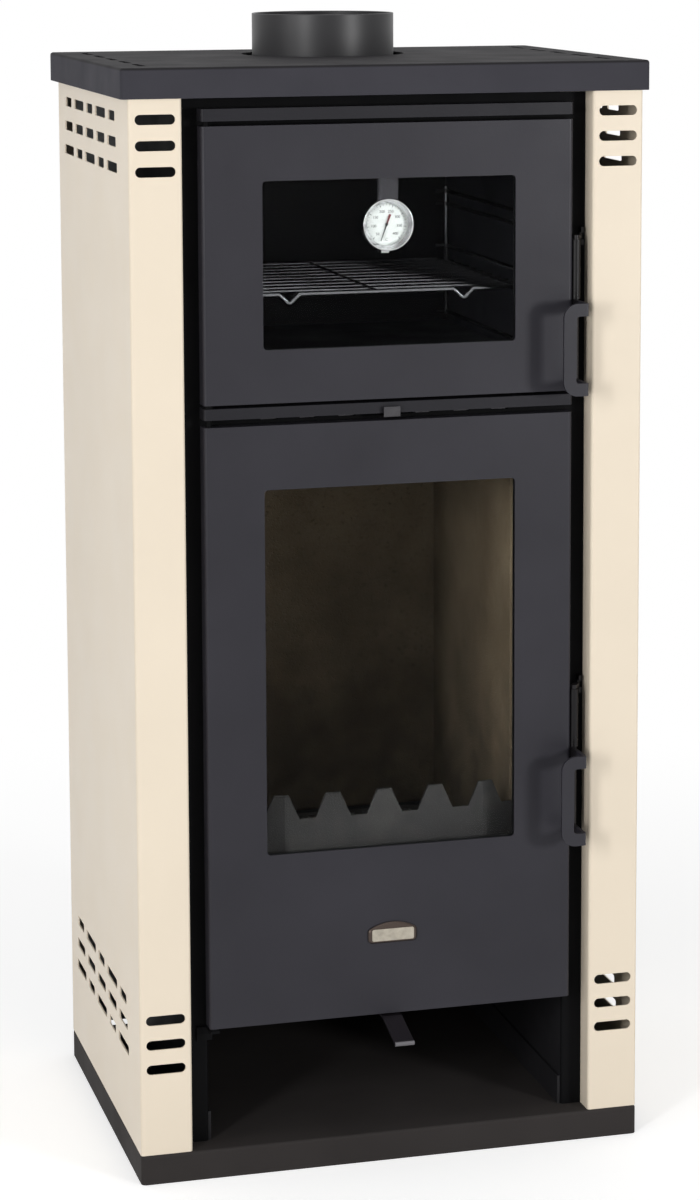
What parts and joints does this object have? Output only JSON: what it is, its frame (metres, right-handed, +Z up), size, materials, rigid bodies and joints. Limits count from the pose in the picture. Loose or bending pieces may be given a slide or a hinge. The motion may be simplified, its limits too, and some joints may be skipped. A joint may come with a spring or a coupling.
{
  "type": "wood cookstove",
  "caption": "Slim wood cookstove with a glazed oven over a glazed firebox, an open log niche below, standing side casings and a round flue collar on top",
  "frame": {"origin": "on the floor, in the middle of the whole stove seen from above", "axes": "X to the right of someone facing the doors' side seen in the picture, Y from the doors to the back, Z up"},
  "size_m": [0.54, 0.444, 1.163],
  "materials": {
    "charcoal_paint": "matt heat-resistant paint",
    "top_paint": "satin heat-resistant paint",
    "base_paint": "matt heat-resistant paint",
    "cream_enamel": "satin enamel",
    "body_paint": "matt black heat-resistant paint",
    "zinc_sheet": "plain zinc-coated sheet",
    "dark_cast_iron": "as cast",
    "firebrick": "pressed firebrick, sooted",
    "rope": "knitted glass-fibre rope",
    "fire_glass": "clear heat-resistant glass",
    "black_clamp": "matt black paint",
    "slider_steel": "plain mild steel",
    "screw_steel": "blackened steel",
    "oven_liner": "dark enamel",
    "wire_chrome": "polished wire",
    "plaque_metal": "nickel-plated, blank",
    "dial_white": "matt white with plain numbers",
    "needle_red": "gloss lacquer",
    "case_chrome": "polished"
  },
  "bodies": {
    "stove": {"base_plate": "base_paint", "side_panel_left": "cream_enamel", "side_panel_right": "cream_enamel", "top_plate": "top_paint", "rear_shield": "zinc_sheet", "rear_screws": "screw_steel", "front_frame": "body_paint", "foot_rails": "body_paint", "body_side_left": "body_paint", "body_side_right": "body_paint", "body_back": "body_paint", "body_top": "body_paint", "flue_collar": "top_paint", "hearth_floor": "body_paint", "panel_brackets": "zinc_sheet", "top_rail": "charcoal_paint", "mid_rail": "charcoal_paint", "hinge_lug": "body_paint", "hinge_pins": "body_paint", "firebed": "body_paint", "grate": "dark_cast_iron", "firebrick_left": "firebrick", "firebrick_right": "firebrick", "firebrick_back": "firebrick", "baffle": "firebrick", "log_guard": "dark_cast_iron", "ash_pan_runners": "body_paint", "air_wash_duct": "body_paint", "air_lever_guides": "body_paint", "oven_box": "oven_liner", "rack_ladder_left": "wire_chrome", "rack_ladder_right": "wire_chrome", "oven_latch_catch": "black_clamp", "fire_latch_catch": "black_clamp"},
    "oven_door": {"oven_door_leaf": "charcoal_paint", "oven_door_glass": "fire_glass", "oven_glass_gasket": "rope", "oven_glass_frame": "black_clamp", "oven_glass_screws": "screw_steel", "oven_door_seal": "rope", "oven_latch_barrel": "black_clamp", "thermometer_bracket": "charcoal_paint", "thermometer_case": "case_chrome", "thermometer_lens": "fire_glass", "thermometer_dial": "dial_white"},
    "fire_door": {"fire_door_leaf": "charcoal_paint", "fire_door_glass": "fire_glass", "fire_glass_gasket": "rope", "fire_glass_frame": "black_clamp", "fire_glass_screws": "screw_steel", "fire_door_seal": "rope", "fire_latch_barrel": "black_clamp", "blank_plaque": "plaque_metal"},
    "thermometer_needle": {"thermometer_needle": "needle_red"},
    "oven_handle": {"oven_door_handle": "charcoal_paint"},
    "fire_handle": {"fire_door_handle": "charcoal_paint"},
    "ash_pan": {"ash_pan": "zinc_sheet"},
    "oven_rack": {"oven_rack": "wire_chrome"},
    "air_slider": {"air_slider": "slider_steel"},
    "air_lever": {"air_lever": "charcoal_paint"}
  },
  "joints": [
    {"name": "oven_door_hinge", "type": "hinge", "parent": "stove", "child": "oven_door", "pos_m": [-0.1845, -0.168, 0.925], "axis": [0, 0, -1], "range_deg": [0, 110]},
    {"name": "fire_door_hinge", "type": "hinge", "parent": "stove", "child": "fire_door", "pos_m": [-0.1845, -0.168, 0.46], "axis": [0, 0, -1], "range_deg": [0, 110]},
    {"name": "oven_handle_turn", "type": "hinge", "parent": "oven_door", "child": "oven_handle", "pos_m": [0.195, -0.171, 0.91], "axis": [0, 0, 1], "range_deg": [0, 45]},
    {"name": "fire_handle_turn", "type": "hinge", "parent": "fire_door", "child": "fire_handle", "pos_m": [0.195, -0.171, 0.446], "axis": [0, 0, 1], "range_deg": [0, 45]},
    {"name": "needle_sweep", "type": "hinge", "parent": "oven_door", "child": "thermometer_needle", "pos_m": [0, -0.1594, 0.9606], "axis": [0, 1, 0], "range_deg": [0, 290]},
    {"name": "air_slider_slide", "type": "slide", "parent": "stove", "child": "air_slider", "axis": [1, 0, 0], "range_m": [0, 0.019]},
    {"name": "air_lever_pull", "type": "slide", "parent": "stove", "child": "air_lever", "axis": [0, -1, 0], "range_m": [0, 0.03]},
    {"name": "oven_rack_slide", "type": "slide", "parent": "stove", "child": "oven_rack", "axis": [0, -1, 0], "range_m": [0, 0.025]},
    {"name": "ash_pan_slide", "type": "slide", "parent": "stove", "child": "ash_pan", "axis": [0, -1, 0], "range_m": [0, 0.02]}
  ]
}
